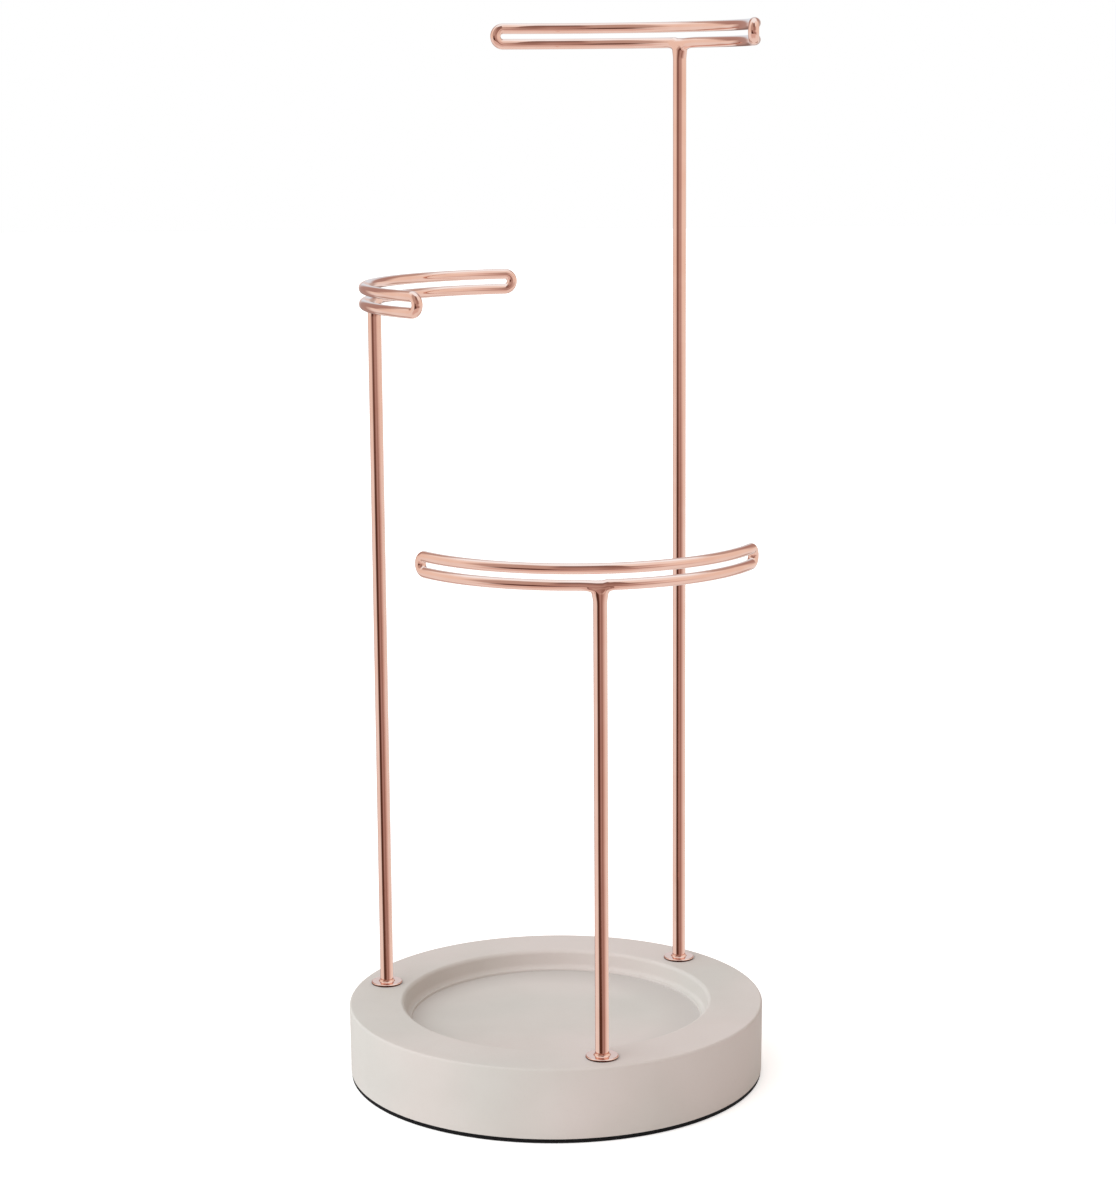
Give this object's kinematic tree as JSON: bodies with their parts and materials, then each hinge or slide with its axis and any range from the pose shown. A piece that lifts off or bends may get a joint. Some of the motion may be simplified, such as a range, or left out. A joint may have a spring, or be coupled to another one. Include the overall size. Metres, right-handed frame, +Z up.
{
  "type": "jewellery stand",
  "caption": "Tiered jewellery stand: a heavy round base with a shallow ring tray, and looped wire racks at different heights on posts that swivel.",
  "frame": {"origin": "centre of the underside, on the surface that the stand stands on", "axes": "+Z up; -Y is the front, the side with the low post; +X is the right seen from the front"},
  "size_m": [0.152, 0.152, 0.3807],
  "materials": {
    "cast_stone": "matte",
    "pad_rubber": "matte",
    "copper_plate": "polished",
    "sleeve_brass": "satin",
    "steel": "satin"
  },
  "bodies": {
    "base": {"base": "cast_stone", "pad": "pad_rubber", "socket_low": "sleeve_brass", "socket_tall": "sleeve_brass", "socket_mid": "sleeve_brass"},
    "arm_low": {"post_low": "copper_plate", "rack_low": "copper_plate", "flange_low": "copper_plate", "screw_low": "steel", "lock_washer_low": "steel", "flat_washer_low": "steel"},
    "arm_tall": {"post_tall": "copper_plate", "rack_tall": "copper_plate", "flange_tall": "copper_plate", "screw_tall": "steel", "lock_washer_tall": "steel", "flat_washer_tall": "steel"},
    "arm_mid": {"post_mid": "copper_plate", "rack_mid": "copper_plate", "flange_mid": "copper_plate", "screw_mid": "steel", "lock_washer_mid": "steel", "flat_washer_mid": "steel"}
  },
  "joints": [
    {"name": "low_swivel", "type": "hinge", "parent": "base", "child": "arm_low", "pos_m": [0.01597, -0.06404, 0.027], "axis": [0, 0, 1], "continuous": true},
    {"name": "tall_swivel", "type": "hinge", "parent": "base", "child": "arm_tall", "pos_m": [0.04748, 0.04585, 0.027], "axis": [0, 0, 1], "continuous": true},
    {"name": "mid_swivel", "type": "hinge", "parent": "base", "child": "arm_mid", "pos_m": [-0.06344, 0.01819, 0.027], "axis": [0, 0, 1], "continuous": true}
  ]
}
